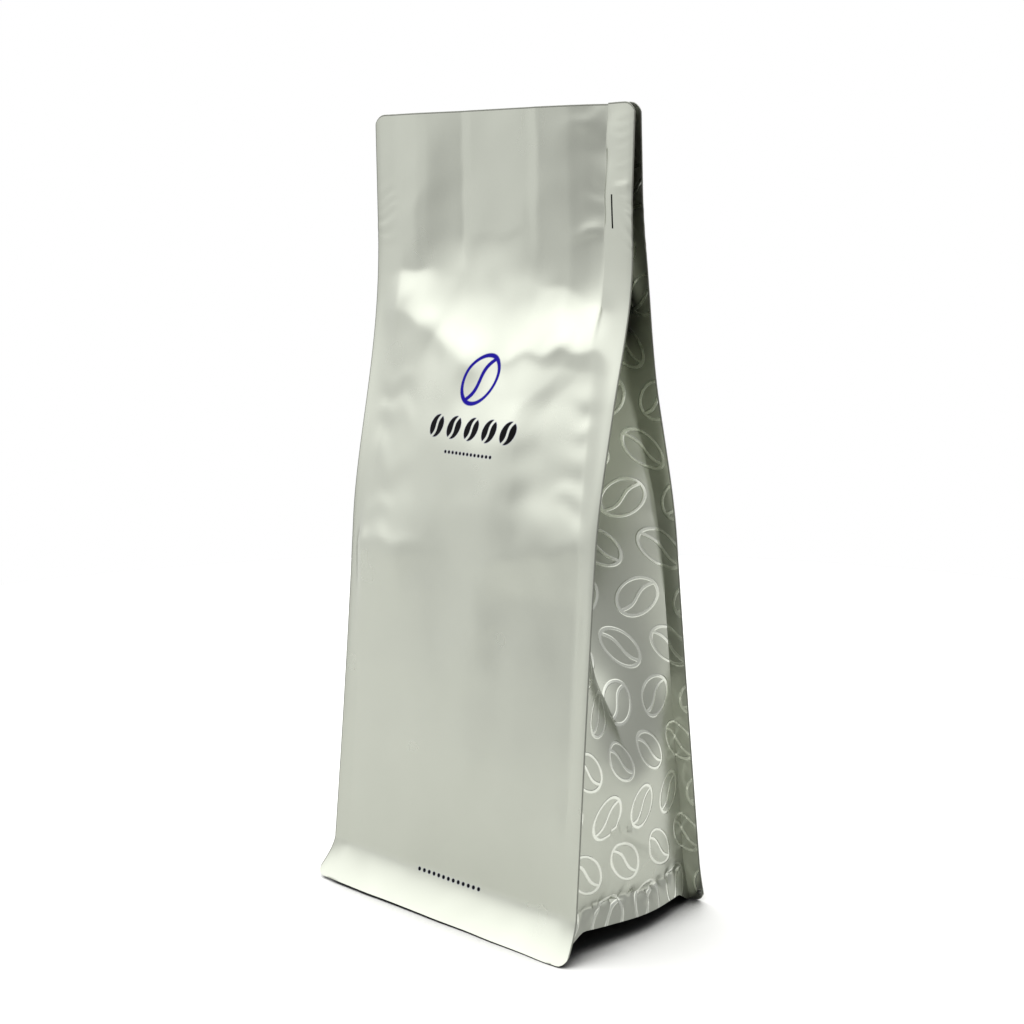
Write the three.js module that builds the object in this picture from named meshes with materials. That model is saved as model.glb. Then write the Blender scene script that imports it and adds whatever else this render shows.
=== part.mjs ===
// A foil coffee bag with a flat base, full, shut and standing upright. It has a front and a back panel,
// two side gussets that fold inwards towards the top, seal fins down the four corners, a flat header
// and a skirt round the base. The front faces -Y, and the origin is on the floor under its middle.
import * as THREE from 'three';
import { mergeVertices } from 'three/addons/utils/BufferGeometryUtils.js';

// Driving dimensions, in millimetres
const HEIGHT = 232;
const HALF_WIDTH = 49.3;
const WAIST = 1.6;
const FLAP = 0.8;
const CORNER_RADIUS = 3.5;

// Half of the depth between the seal fins: it shrinks up the walls, then closes over the shoulder
const BASE_HALF_DEPTH = 29.6;
const WALL_TAPER = 0.102;
const HEADER_HALF_DEPTH = 2.75;
const HEADER_TAPER = 0.041;
const SHOULDER_FROM = 112;
const SHOULDER_TO = 198;

// The bag leans: its mid-plane moves from behind the middle at the base to before it at the top
const LEAN_AT_BASE = 1.8;
const LEAN_OVER_HEIGHT = -4.4;
const LEAN_BOW = 0.9;

// Swell of the panels between the fins
const SWELL = 3.5;
const SWELL_FROM = 8;
const SWELL_FULL = 50;
const SWELL_FADES = 130;
const HEADER_FROM = 165;
const HEADER_FULL = 192;

// Seal fins, narrow on the body and broad beside the header
const FIN = 5.5;
const HEADER_FIN = 10.4;
const FIN_GROWS = 120;

// Gussets: pushed out by the coffee low down, folded in to the full depth above
const FOLD_DEPTH = 35;
const FOLD_FROM = 40;
const FOLD_FULL = 120;
const GUSSET_SWELL = 3.4;
const GUSSET_SWELL_FADES = 40;
const GUSSET_SWELL_ENDS = 80;

// Skirt: the sealed rim under the walls, flared in front, behind and at the sides
const SKIRT = 12;
const FLARE_FRONT = 4;
const FLARE_BACK = 0.4;
const FLARE_WIDTH = 0.7;
const FLARE_SIDE = 4;
const FLARE_POWER = 1.5;
const SIDE_LIFT_FRONT = 6.6;
const SIDE_LIFT_MIDDLE = 5;
const SIDE_LIFT_BACK = 3.8;
const SIDE_LIFT_SPAN = 0.3;

// Base panel, between the groove behind the skirt and the flat that the bag stands on
const GROOVE = 9;
const BASE_RINGS = [
  { size: 0.93, height: 6.6 },
  { size: 0.76, height: 1.9 },
  { size: 0.58, height: 0 },
];

// Fineness: insets of the columns across a rounded corner, then steps between the lines of the bag
const CORNER_INSETS = [0, 0.13, 0.45, 1];
const FOLD_STEPS = 5;
const CENTRE_STEPS = 6;
const ROW_BANDS = [
  { to: SKIRT, rows: 5 },
  { to: SHOULDER_FROM, rows: 9 },
  { to: SHOULDER_TO, rows: 14 },
  { to: HEIGHT - CORNER_RADIUS, rows: 4 },
  { to: HEIGHT, rows: 1 },
];

const FRONT = -1;
const BACK = 1;
const RIGHT = 1;
const LEFT = -1;
const { lerp, clamp } = THREE.MathUtils;

// Eased share of the way from one height to another
function rise(from, to, z) {
  return THREE.MathUtils.smoothstep(z, from, to);
}

function flare(z) {
  return Math.max(0, (SKIRT - z) / SKIRT) ** FLARE_POWER;
}

function halfWidth(z) {
  return HALF_WIDTH - WAIST * Math.sin((Math.PI * z) / HEIGHT) + FLARE_WIDTH * flare(z);
}

function lean(z) {
  return LEAN_AT_BASE + (LEAN_OVER_HEIGHT * z) / HEIGHT + LEAN_BOW * Math.sin((Math.PI * z) / HEIGHT);
}

// Half of the depth at the fins
function halfDepth(z) {
  const wall = BASE_HALF_DEPTH - WALL_TAPER * z;
  const header = HEADER_HALF_DEPTH - HEADER_TAPER * (z - SHOULDER_TO);
  return lerp(wall, header, rise(SHOULDER_FROM, SHOULDER_TO, z));
}

// Where a fin begins, and where the gusset's middle fold lies, from the middle of the bag
function rootX(z) {
  return halfWidth(z) - lerp(FIN, HEADER_FIN, rise(FIN_GROWS, HEADER_FULL, z));
}

function foldX(z) {
  const fullyIn = halfWidth(z) - FOLD_DEPTH;
  return lerp(rootX(z), fullyIn, rise(FOLD_FROM, FOLD_FULL, z));
}

// How far a panel stands from the mid-plane: swollen on the body, pressed on the folds in the header
function panelReach(x, z) {
  const depth = halfDepth(z);
  const across = Math.min(1, Math.abs(x) / rootX(z));
  const swell = SWELL * rise(SWELL_FROM, SWELL_FULL, z) * (1 - rise(SWELL_FADES, HEADER_FULL, z));
  const body = depth + swell * (1 - across * across);
  const opening = clamp((Math.abs(x) - foldX(z)) / (rootX(z) - foldX(z) || 1), 0, 1);
  const header = FLAP + (depth - FLAP) * opening;
  return lerp(body, header, rise(HEADER_FROM, HEADER_FULL, z));
}

function skirtReach(face, z) {
  return (face === FRONT ? FLARE_FRONT : FLARE_BACK) * flare(z);
}

// Outer face of a panel
function panelPoint(face, x, z) {
  return new THREE.Vector3(x, lean(z) + face * (panelReach(x, z) + skirtReach(face, z)), z);
}

// Inner face of a fin, one flap's thickness behind the panel
function finPoint(face, x, z) {
  return new THREE.Vector3(x, lean(z) + face * (halfDepth(z) - FLAP + skirtReach(face, z)), z);
}

// Half of a gusset, from the root of its fin (share 0) to the middle fold (share 1)
function gussetPoint(face, side, share, z) {
  const root = finPoint(face, rootX(z), z);
  const eased = 1 - (1 - share) * (1 - share);
  const low = 1 - rise(GUSSET_SWELL_FADES, GUSSET_SWELL_ENDS, z);
  const out = eased * (GUSSET_SWELL * low + FLARE_SIDE * flare(z));
  return new THREE.Vector3(side * (lerp(root.x, foldX(z), share) + out), lerp(root.y, lean(z), share), z);
}

// Height of the side skirt's lower edge over the floor, from the root of a fin to the middle fold
function sideLift(face, share) {
  const atFin = face === FRONT ? SIDE_LIFT_FRONT : SIDE_LIFT_BACK;
  return lerp(atFin, SIDE_LIFT_MIDDLE, share) * rise(0, SIDE_LIFT_SPAN, share);
}

// Height lost to a rounded corner at an inset from its edge
function cornerLoss(inset) {
  const left = Math.max(0, CORNER_RADIUS - inset);
  return CORNER_RADIUS - Math.sqrt(CORNER_RADIUS ** 2 - left ** 2);
}

// A column is one line up the bag: its lowest and highest point, and its place at a height between them
function column(low, high, at) {
  return { low, high, at };
}

// Columns of a flap from the fin's edge to the line of the fold, on the panel or on the gusset side of it
function flapColumns(face, side, inner) {
  const columns = CORNER_INSETS.map((share) => {
    const inset = share * CORNER_RADIUS;
    const loss = cornerLoss(inset);
    const place = inner ? finPoint : panelPoint;
    return column(loss, HEIGHT - loss, (z) => place(face, side * (halfWidth(z) - inset), z));
  });
  for (let step = 0; step <= FOLD_STEPS; step += 1) {
    const share = step / FOLD_STEPS;
    const lift = inner ? sideLift(face, share) : 0;
    const fixedFold = HALF_WIDTH - FOLD_DEPTH;
    columns.push(
      column(lift, HEIGHT, (z) =>
        inner
          ? gussetPoint(face, side, share, z)
          : panelPoint(face, side * lerp(rootX(z), fixedFold, share), z),
      ),
    );
  }
  return columns;
}

// Columns of a panel between the lines of the two folds
function centreColumns(face) {
  const half = HALF_WIDTH - FOLD_DEPTH;
  return Array.from({ length: CENTRE_STEPS - 1 }, (_, step) => {
    const x = lerp(-half, half, (step + 1) / CENTRE_STEPS);
    return column(0, HEIGHT, (z) => panelPoint(face, x, z));
  });
}

// All columns in order round the bag, each of its runs kept for the closing faces
const outer = {};
const inner = {};
for (const face of [FRONT, BACK]) {
  for (const side of [LEFT, RIGHT]) {
    outer[[face, side]] = flapColumns(face, side, false);
    inner[[face, side]] = flapColumns(face, side, true);
  }
}
const centre = { [FRONT]: centreColumns(FRONT), [BACK]: centreColumns(BACK) };

function panelRun(face) {
  return [...outer[[face, LEFT]], ...centre[face], ...outer[[face, RIGHT]].toReversed()];
}

// The two halves of a gusset share the column of its middle fold
function gussetRun(side) {
  return [...inner[[FRONT, side]], ...inner[[BACK, side]].toReversed().slice(1)];
}

const ring = [
  ...panelRun(FRONT),
  ...gussetRun(RIGHT),
  ...panelRun(BACK).toReversed(),
  ...gussetRun(LEFT).toReversed(),
];

// Row heights as shares of a column
const rows = [0];
for (const [band, { to, rows: count }] of ROW_BANDS.entries()) {
  const from = band ? ROW_BANDS[band - 1].to : 0;
  for (let row = 1; row <= count; row += 1) {
    rows.push(lerp(from, to, row / count) / HEIGHT);
  }
}

const corners = [];

function triangle(a, b, c) {
  for (const corner of [a, b, c]) {
    corners.push(corner.x, corner.y, corner.z);
  }
}

function quad(a, b, c, d) {
  triangle(a, b, c);
  triangle(a, c, d);
}

// Faces between two lines of points, which face left of the way the first one runs
function strip(first, second, closed) {
  const steps = closed ? first.length : first.length - 1;
  for (let i = 0; i < steps; i += 1) {
    const next = (i + 1) % first.length;
    quad(first[i], first[next], second[next], second[i]);
  }
}

function atShare(line, share) {
  return line.at(lerp(line.low, line.high, share));
}

function ends(lines, share) {
  return lines.map((line) => atShare(line, share));
}

// Walls
for (let row = 1; row < rows.length; row += 1) {
  strip(ends(ring, rows[row - 1]), ends(ring, rows[row]), true);
}

// Top edge: the four flaps, the centre and the corner where each fold meets it
for (const side of [LEFT, RIGHT]) {
  for (const face of [FRONT, BACK]) {
    const panel = ends(outer[[face, side]], 1);
    const gusset = ends(inner[[face, side]], 1);
    if (face * side > 0) {
      strip(panel, gusset, false);
    } else {
      strip(gusset, panel, false);
    }
  }
  const fold = atShare(inner[[FRONT, side]].at(-1), 1);
  const front = atShare(outer[[FRONT, side]].at(-1), 1);
  const back = atShare(outer[[BACK, side]].at(-1), 1);
  if (side === RIGHT) {
    triangle(front, fold, back);
  } else {
    triangle(front, back, fold);
  }
}

function betweenFolds(face) {
  return ends([outer[[face, LEFT]].at(-1), ...centre[face], outer[[face, RIGHT]].at(-1)], 1);
}

strip(betweenFolds(FRONT), betweenFolds(BACK), false);

// Lower ends of the fins
const finColumns = CORNER_INSETS.length + 1;
for (const side of [LEFT, RIGHT]) {
  for (const face of [FRONT, BACK]) {
    const panel = ends(outer[[face, side]].slice(0, finColumns), 0);
    const gusset = ends(inner[[face, side]].slice(0, finColumns), 0);
    if (face * side > 0) {
      strip(gusset, panel, false);
    } else {
      strip(panel, gusset, false);
    }
  }
}

// Base: the skirt's lower edge, its inner face up to the groove, then the base panel down to the flat
function inside(lines) {
  return lines.slice(CORNER_INSETS.length, lines.length - CORNER_INSETS.length);
}

const rim = [
  ...inside(panelRun(FRONT)),
  ...inside(gussetRun(RIGHT)),
  ...inside(panelRun(BACK)).toReversed(),
  ...inside(gussetRun(LEFT)).toReversed(),
];
const inset = new THREE.Vector3(1 - FLAP / HALF_WIDTH, 1 - FLAP / BASE_HALF_DEPTH, 1);
const lowerEdge = ends(rim, 0);
const innerEdge = lowerEdge.map((point) => point.clone().multiply(inset));
const grooveTop = rim.map((line) => line.at(GROOVE).multiply(inset));
const loops = [lowerEdge, innerEdge, grooveTop];
for (const { size, height } of BASE_RINGS) {
  loops.push(grooveTop.map((point) => new THREE.Vector3(point.x * size, point.y * size, height)));
}
for (let loop = 1; loop < loops.length; loop += 1) {
  strip(loops[loop], loops[loop - 1], true);
}
const flat = loops.at(-1);
const middle = new THREE.Vector3(0, 0, 0);
for (let i = 0; i < flat.length; i += 1) {
  triangle(middle, flat[(i + 1) % flat.length], flat[i]);
}

const soup = new THREE.BufferGeometry();
soup.setAttribute('position', new THREE.Float32BufferAttribute(corners, 3));
const geometry = mergeVertices(soup, 1e-4);
geometry.computeVertexNormals();

const foil = new THREE.MeshStandardMaterial({ color: 0xc3c6ba, metalness: 0.85, roughness: 0.42 });
const bag = new THREE.Mesh(geometry, foil);
bag.name = 'bag';

const part = new THREE.Group();
part.name = 'foil_coffee_bag';
part.add(bag);

export default part;
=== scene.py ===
"""Foil coffee bag: one film of matte silver laminate, folded and sealed so that it stands on a flat base.

The film is modelled as a flat grid whose columns run round the bag and whose rows run from the middle of
the base, under the skirt and up the walls to the top edge. It is folded to the form of the solid in the
frame, and the seals are welded. Sizes are in millimetres. The front faces -Y.
"""

import logging
import math
from dataclasses import dataclass
from enum import Enum
from typing import Any

import bpy
import numpy as np
from mathutils import Matrix, Vector


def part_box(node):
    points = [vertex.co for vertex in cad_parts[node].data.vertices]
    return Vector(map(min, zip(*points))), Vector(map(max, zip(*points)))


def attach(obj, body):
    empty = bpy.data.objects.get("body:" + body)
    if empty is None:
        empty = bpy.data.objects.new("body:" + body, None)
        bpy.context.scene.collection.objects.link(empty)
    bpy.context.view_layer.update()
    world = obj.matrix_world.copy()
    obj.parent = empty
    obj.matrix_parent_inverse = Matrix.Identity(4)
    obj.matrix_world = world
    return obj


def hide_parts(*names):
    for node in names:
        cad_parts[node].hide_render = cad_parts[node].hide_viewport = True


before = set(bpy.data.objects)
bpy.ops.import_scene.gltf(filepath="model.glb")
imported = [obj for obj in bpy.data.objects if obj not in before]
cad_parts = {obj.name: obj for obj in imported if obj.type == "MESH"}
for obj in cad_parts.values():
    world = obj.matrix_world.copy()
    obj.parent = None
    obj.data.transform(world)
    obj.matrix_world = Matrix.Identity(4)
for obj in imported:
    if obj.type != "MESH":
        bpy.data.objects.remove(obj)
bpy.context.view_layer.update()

MM = 0.001
LOG = logging.getLogger("foil_coffee_bag")

Array = np.ndarray
Socket = bpy.types.NodeSocket
Column = tuple[int, int, int, float]

# Steps that never fall into line, for waves that don't repeat.
GOLDEN_TURN = 2.4
GOLDEN_SHARE = 0.618
PHASE_STEP = 1.7

# Long waves that make straight lines a little uneven: size, pace across, pace up and start.
DRIFT_ACROSS = ((1.0, 0.29, 0.17, 1.3), (0.7, 0.13, -0.47, 0.5))
DRIFT_UP = ((1.0, 0.23, -0.19, 2.1), (0.7, 0.53, 0.11, 4.0))


class Face(Enum):
    """The two broad panels, by the sign of the way they face along Y."""

    FRONT = -1
    BACK = 1


class Side(Enum):
    """The two gussets, by the sign of the way they face along X."""

    LEFT = -1
    RIGHT = 1


class Zone(Enum):
    """Where a column of the film lies."""

    PANEL = 0
    FIN_PANEL = 1
    FIN_GUSSET = 2
    GUSSET = 3


class Finish(Enum):
    """The film's finishes, by the number of their material slot."""

    PLAIN = 0
    CUT = 1
    PRINTED = 2
    VARNISHED = 3


def ease(low: float, high: float, value: Array) -> Array:
    """Smooth share of the way from low to high.

    Args:
        low: Value at which the share leaves 0.
        high: Value at which it reaches 1.
        value: Where to read it.

    Returns:
        The share, from 0 to 1, with level ends.
    """
    share = np.clip((value - low) / (high - low), 0.0, 1.0)
    return share * share * (3.0 - 2.0 * share)


def rise(low: float, high: float, value: Array) -> Array:
    """Height of a slope that starts level at one place and is straight past another.

    Args:
        low: Place where the slope starts.
        high: Place from where it is one to one.
        value: Where to read it.

    Returns:
        The height.
    """
    share = np.clip((value - low) / (high - low), 0.0, 1.0)
    return (high - low) * (share**3 - share**4 / 2.0) + np.maximum(0.0, value - high)


def blend(first: Array, second: Array, share: Array) -> Array:
    """Straight mix of two values by a share from 0 to 1."""
    return first + (second - first) * share


def linear(colour: str) -> tuple[float, float, float, float]:
    """Turns an sRGB hex colour into linear values.

    Args:
        colour: Six hex digits after a #.

    Returns:
        Linear red, green, blue and an alpha of 1.
    """
    parts = [int(colour[i : i + 2], 16) / 255.0 for i in (1, 3, 5)]
    red, green, blue = (p / 12.92 if p <= 0.04045 else ((p + 0.055) / 1.055) ** 2.4 for p in parts)
    return red, green, blue, 1.0


@dataclass(frozen=True)
class Push:
    """An oval place where the film is pushed out or in."""

    x: float
    z: float
    across: float
    up: float
    out: float
    turn: float = 0.0
    edge: float = 2.0
    drift: float = 0.8

    def height(self, x: Array, z: Array) -> Array:
        """How far the film stands out here.

        Args:
            x: Place across the panel.
            z: Height.

        Returns:
            Millimetres outwards.
        """
        cos, sin = math.cos(math.radians(self.turn)), math.sin(math.radians(self.turn))
        along = ((x - self.x) * cos + (z - self.z) * sin) / self.across
        over = ((z - self.z) * cos - (x - self.x) * sin) / self.up
        return self.out * np.exp(-((along * along + over * over) ** (self.edge / 2.0)))


@dataclass(frozen=True)
class Crease:
    """A straight crease: a ridge or groove with one slope steeper than the other."""

    start: tuple[float, float]
    end: tuple[float, float]
    left_slope: float
    right_slope: float
    out: float
    fade: float = 0.25
    drift: float = 0.9
    roundness: float = 0.2

    def height(self, x: Array, z: Array) -> Array:
        """How far the film stands out here.

        Args:
            x: Place across the panel.
            z: Height.

        Returns:
            Millimetres outwards.
        """
        way = np.array(self.end) - np.array(self.start)
        length = float(np.hypot(*way))
        way = way / length
        along = ((x - self.start[0]) * way[0] + (z - self.start[1]) * way[1]) / length
        left = (z - self.start[1]) * way[0] - (x - self.start[0]) * way[1]
        width = np.where(left > 0.0, self.left_slope, self.right_slope)
        across = np.exp(self.roundness - np.sqrt((left / width) ** 2 + self.roundness**2))
        ends = ease(-self.fade, self.fade, along) * ease(-self.fade, self.fade, 1.0 - along)
        return self.out * across * ends


@dataclass(frozen=True)
class Gathers:
    """A row of small gathers along a seal."""

    start: tuple[float, float]
    end: tuple[float, float]
    pitch: float
    reach: float
    out: float
    phase: float = 0.0
    drift: float = 0.7
    unevenness: float = 0.7
    uneven_pace: float = 0.37

    def height(self, x: Array, z: Array) -> Array:
        """How far the film stands out here.

        Args:
            x: Place across the panel.
            z: Height.

        Returns:
            Millimetres outwards.
        """
        way = np.array(self.end) - np.array(self.start)
        length = float(np.hypot(*way))
        way = way / length
        along = (x - self.start[0]) * way[0] + (z - self.start[1]) * way[1]
        off = (z - self.start[1]) * way[0] - (x - self.start[0]) * way[1]
        spread = ease(-self.pitch, self.pitch, along) * ease(-self.pitch, self.pitch, length - along)
        turn = 2.0 * math.pi * along / self.pitch + self.phase
        wave = np.sin(turn + self.unevenness * np.sin(self.uneven_pace * turn))
        return self.out * spread * wave * np.exp(-((off / self.reach) ** 2))


@dataclass(frozen=True)
class Profile:
    """A wave across the film that is the same over a span of height."""

    points: tuple[tuple[float, float], ...]
    low: tuple[float, float]
    soft: float = 0.7
    drift: float = 0.25
    samples: int = 5

    def height(self, x: Array, z: Array) -> Array:
        """How far the film stands out here.

        Args:
            x: Place across the panel.
            z: Height.

        Returns:
            Millimetres outwards.
        """
        places, heights = zip(*self.points)
        shifts = np.linspace(-self.soft, self.soft, self.samples)
        wave = sum(np.interp(x + shift, places, heights) for shift in shifts) / len(shifts)
        return wave * ease(*self.low, z)


@dataclass(frozen=True)
class Waves:
    """Faint unevenness all over a panel, where the beans inside press on the film."""

    pitch: float
    out: float
    start: float = 0.0
    count: int = 7
    drift: float = 1.0
    spread: float = 0.3

    def height(self, x: Array, z: Array) -> Array:
        """How far the film stands out here.

        Args:
            x: Place across the panel.
            z: Height.

        Returns:
            Millimetres outwards.
        """
        total = np.zeros_like(x)
        for number in range(self.count):
            way = self.start + GOLDEN_TURN * number
            length = self.pitch * (1.0 + self.spread * (2.0 * (GOLDEN_SHARE * number % 1.0) - 1.0))
            turn = 2.0 * math.pi * (x * math.cos(way) + z * math.sin(way)) / length
            total = total + np.sin(turn + PHASE_STEP * number + self.start)
        return total * self.out / math.sqrt(self.count)


Relief = tuple[Push | Crease | Gathers | Profile | Waves, ...]


def drift(waves: tuple[tuple[float, ...], ...], x: Array, z: Array) -> Array:
    """Sum of long waves at a place on the film."""
    return sum(size * np.sin(across * x + up * z + start) for size, across, up, start in waves)


def relief_height(relief: Relief, x: Array, z: Array) -> Array:
    """Sum of several shapes in the film, with their lines made a little uneven.

    Args:
        relief: The shapes.
        x: Place across the panel.
        z: Height.

    Returns:
        Millimetres outwards.
    """
    drift_x, drift_z = drift(DRIFT_ACROSS, x, z), drift(DRIFT_UP, x, z)
    total = np.zeros_like(x)
    for shape in relief:
        total = total + shape.height(x + shape.drift * drift_x, z + shape.drift * drift_z)
    return total


@dataclass(frozen=True)
class BagForm:
    """Form of the filled bag: the same lines as the solid in the frame, with foil as thin as foil shows."""

    height: float
    foot_half_width: float
    foot_half_depth: float
    # Outline of the front: two layers of foil at the edge, rounded corners and a slight waist.
    flap: float = 0.36
    corner_radius: float = 3.5
    waist: float = 1.6
    foot_flare: float = 0.7
    corner_gain: float = 0.34
    # Depth, which closes to the header over the shoulder, and the mid-plane's lean.
    base_half_depth: float = 29.6
    wall_taper: float = 0.102
    header_half_depth: float = 2.75
    header_taper: float = 0.041
    shoulder: tuple[float, float] = (112.0, 198.0)
    lean_at_base: float = 1.8
    lean_over_height: float = -4.4
    lean_bow: float = 0.9
    # Swelling of the panels over the beans.
    swell: float = 2.6
    swell_grows: tuple[float, float] = (8.0, 50.0)
    swell_fades: tuple[float, float] = (150.2, 212.7)
    # Flat header, where it starts, how it sinks to the sides and how its layers lie on each other.
    header: tuple[float, float] = (165.0, 192.0)
    slope_starts: tuple[float, float] = (137.0, 182.0)
    slope_ends: tuple[float, float] = (183.0, 198.0)
    header_sinks: tuple[float, float] = (2.5, 6.5)
    sinks_over: tuple[float, float] = (4.0, 40.0)
    ply_gap: float = 0.6
    fold_gap: float = 0.1
    pressed_gap: float = 0.06
    pressed_power: float = 36.0
    # Fins, broad beside the header, with bent edges.
    fin: float = 5.5
    header_fin: float = 10.4
    fin_grows: tuple[float, float] = (95.0, 172.0)
    edge_curl: float = 0.25
    curl_width: float = 2.4
    # Gussets, full below and folded inwards above.
    fold_depth: float = 35.0
    fold: tuple[float, float] = (40.0, 120.0)
    gusset_swell: float = 3.4
    gusset_swell_fades: tuple[float, float] = (40.0, 80.0)
    front_fullness: float = 1.6
    front_fullness_fades: tuple[float, float] = (75.0, 105.0)
    # Skirt: its flare, its longer left tip, its lift off the floor and the groove behind it.
    skirt: float = 12.5
    front_reach: float = 0.8
    flare_side: float = 4.0
    flare_power: float = 1.5
    left_tip: float = 3.3
    edge_lift: tuple[float, float] = (0.9, 0.3)
    side_lift: tuple[float, float, float] = (6.6, 5.0, 3.8)
    side_lift_span: float = 0.3
    groove: float = 9.0

    def flare(self, z: Array) -> Array:
        """Share of the skirt's flare at a height."""
        return np.maximum(0.0, (self.skirt - z) / self.skirt) ** self.flare_power

    def edge_x(self, z: Array) -> Array:
        """Middle to the outer edge of a fin."""
        straight = self.foot_half_width - self.corner_gain + self.foot_flare * self.flare(z)
        return straight - self.waist * np.sin(math.pi * z / self.height)

    def lean(self, z: Array) -> Array:
        """Place of the mid-plane along Y."""
        share = z / self.height
        return self.lean_at_base + self.lean_over_height * share + self.lean_bow * np.sin(math.pi * share)

    def half_depth(self, z: Array) -> Array:
        """Mid-plane to a fin.

        Args:
            z: Height.

        Returns:
            Half of the bag's depth.
        """
        wall = self.base_half_depth - self.wall_taper * z
        header = self.header_half_depth - self.header_taper * (z - self.shoulder[1])
        return blend(wall, header, ease(*self.shoulder, z))

    def fin_width(self, z: Array) -> Array:
        """Width of a fin, broad beside the header."""
        return blend(self.fin, self.header_fin, ease(*self.fin_grows, z))

    def root_x(self, z: Array) -> Array:
        """Middle to the root of a fin."""
        return self.edge_x(z) - self.fin_width(z)

    def curl(self, side: Array, inset: Array) -> Array:
        """How far a fin's cut edge is bent along Y, forwards on the left and backwards on the right."""
        return side * self.edge_curl * np.maximum(0.0, 1.0 - inset / self.curl_width) ** 2

    def fold_x(self, z: Array) -> Array:
        """Middle to the gusset's middle fold."""
        return blend(self.root_x(z), self.edge_x(z) - self.fold_depth, ease(*self.fold, z))

    def skirt_reach(self, face: Array, z: Array) -> Array:
        """How far the skirt stands out beyond a panel's line."""
        foot = self.foot_half_depth - self.base_half_depth - face * self.lean_at_base
        return (foot + np.where(face < 0, self.front_reach, 0.0)) * self.flare(z)

    def opening(self, side: Array, share: Array, z: Array) -> Array:
        """How far the header is open over a gusset's fold, on the right only close to the seal.

        Args:
            side: Sign of the gusset's side.
            share: 0 at the middle fold, 1 at the fin's root.
            z: Height.

        Returns:
            Share of the depth at the fin's root.
        """
        pressed = self.pressed_gap * share + (1.0 - self.pressed_gap) * share**self.pressed_power
        return blend(share, pressed, np.where(side > 0, ease(*self.header, z), 0.0))

    def flattening(self, z: Array) -> Array:
        """Share of the way from the full body to the flat header."""
        run = (sum(self.slope_ends) - sum(self.slope_starts)) / 2.0
        return (rise(*self.slope_starts, z) - rise(*self.slope_ends, z)) / run

    def panel_reach(self, face: Array, x: Array, z: Array) -> Array:
        """How far a panel stands from the mid-plane, without the skirt.

        Args:
            face: Sign of the panel's face.
            x: Place across the panel.
            z: Height.

        Returns:
            Millimetres outwards: swollen on the body, pressed on the folds in the header.
        """
        depth = self.half_depth(z)
        root, fold = self.root_x(z), self.fold_x(z)
        across = np.minimum(1.0, np.abs(x) / root)
        swell = self.swell * ease(*self.swell_grows, z) * (1.0 - ease(*self.swell_fades, z))
        body = depth + swell * (1.0 - across * across)
        share = np.clip((np.abs(x) - fold) / np.maximum(root - fold, 1.0), 0.0, 1.0)
        header = self.flap + (depth - self.flap) * self.opening(x, share, z)
        deepest = np.where(x > 0, self.header_sinks[1], self.header_sinks[0])
        sinks = np.where(face < 0, deepest * ease(*self.sinks_over, np.abs(x)), 0.0)
        return blend(body, header, self.flattening(z + sinks))

    def panel_y(self, face: Array, x: Array, z: Array) -> Array:
        """Outer face of a panel."""
        return self.lean(z) + face * (self.panel_reach(face, x, z) + self.skirt_reach(face, z))

    def fin_y(self, face: Array, z: Array) -> Array:
        """Gusset side of a fin."""
        return self.lean(z) + face * (self.half_depth(z) - self.flap + self.skirt_reach(face, z))

    def gusset(self, face: Array, side: Array, share: Array, z: Array) -> tuple[Array, Array]:
        """Half of a gusset.

        Args:
            face: Sign of the panel that this half joins.
            side: Sign of the gusset's side.
            share: 0 at the fin's root, 1 at the middle fold.
            z: Height.

        Returns:
            Places along X, outwards, and along Y.
        """
        low = 1.0 - ease(*self.gusset_swell_fades, z)
        out = (1.0 - (1.0 - share) ** 2) * (self.gusset_swell * low + self.flare_side * self.flare(z))
        full = np.where(face < 0, self.front_fullness * (1.0 - ease(*self.front_fullness_fades, z)), 0.0)
        x = blend(self.root_x(z), self.fold_x(z), share ** (1.0 + full)) + out
        room = self.panel_reach(face, side * x, z) - self.flap - self.ply_gap * share * ease(*self.fold, z)
        room = np.maximum(room, self.fold_gap * (1.0 - share))
        reach = np.minimum((1.0 - share) * (self.half_depth(z) - self.flap), room)
        return x, self.lean(z) + face * (reach + (1.0 - share) * self.skirt_reach(face, z))

    def side_low(self, face: Array, share: Array) -> Array:
        """Height of the side skirt's lower edge over the floor."""
        at_fin = np.where(face < 0, self.side_lift[0], self.side_lift[2])
        return blend(at_fin, self.side_lift[1], share) * ease(0.0, self.side_lift_span, share)

    def corner_loss(self, inset: Array) -> Array:
        """Height lost to a rounded corner at an inset from its edge."""
        left = np.maximum(0.0, self.corner_radius - inset)
        return self.corner_radius - np.sqrt(self.corner_radius**2 - left**2)


@dataclass
class Columns:
    """Columns of the film in order round the bag, as one array for each of their facts.

    A fin column's place is its number from the edge, a panel column's its share of the way from the middle
    to the fin's root, and a gusset column's its share of the way from the root to the middle fold.
    """

    zone: Array
    face: Array
    side: Array
    place: Array

    def are(self, *zones: Zone) -> Array:
        """Which columns lie in these zones."""
        return np.isin(self.zone, [zone.value for zone in zones])


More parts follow.
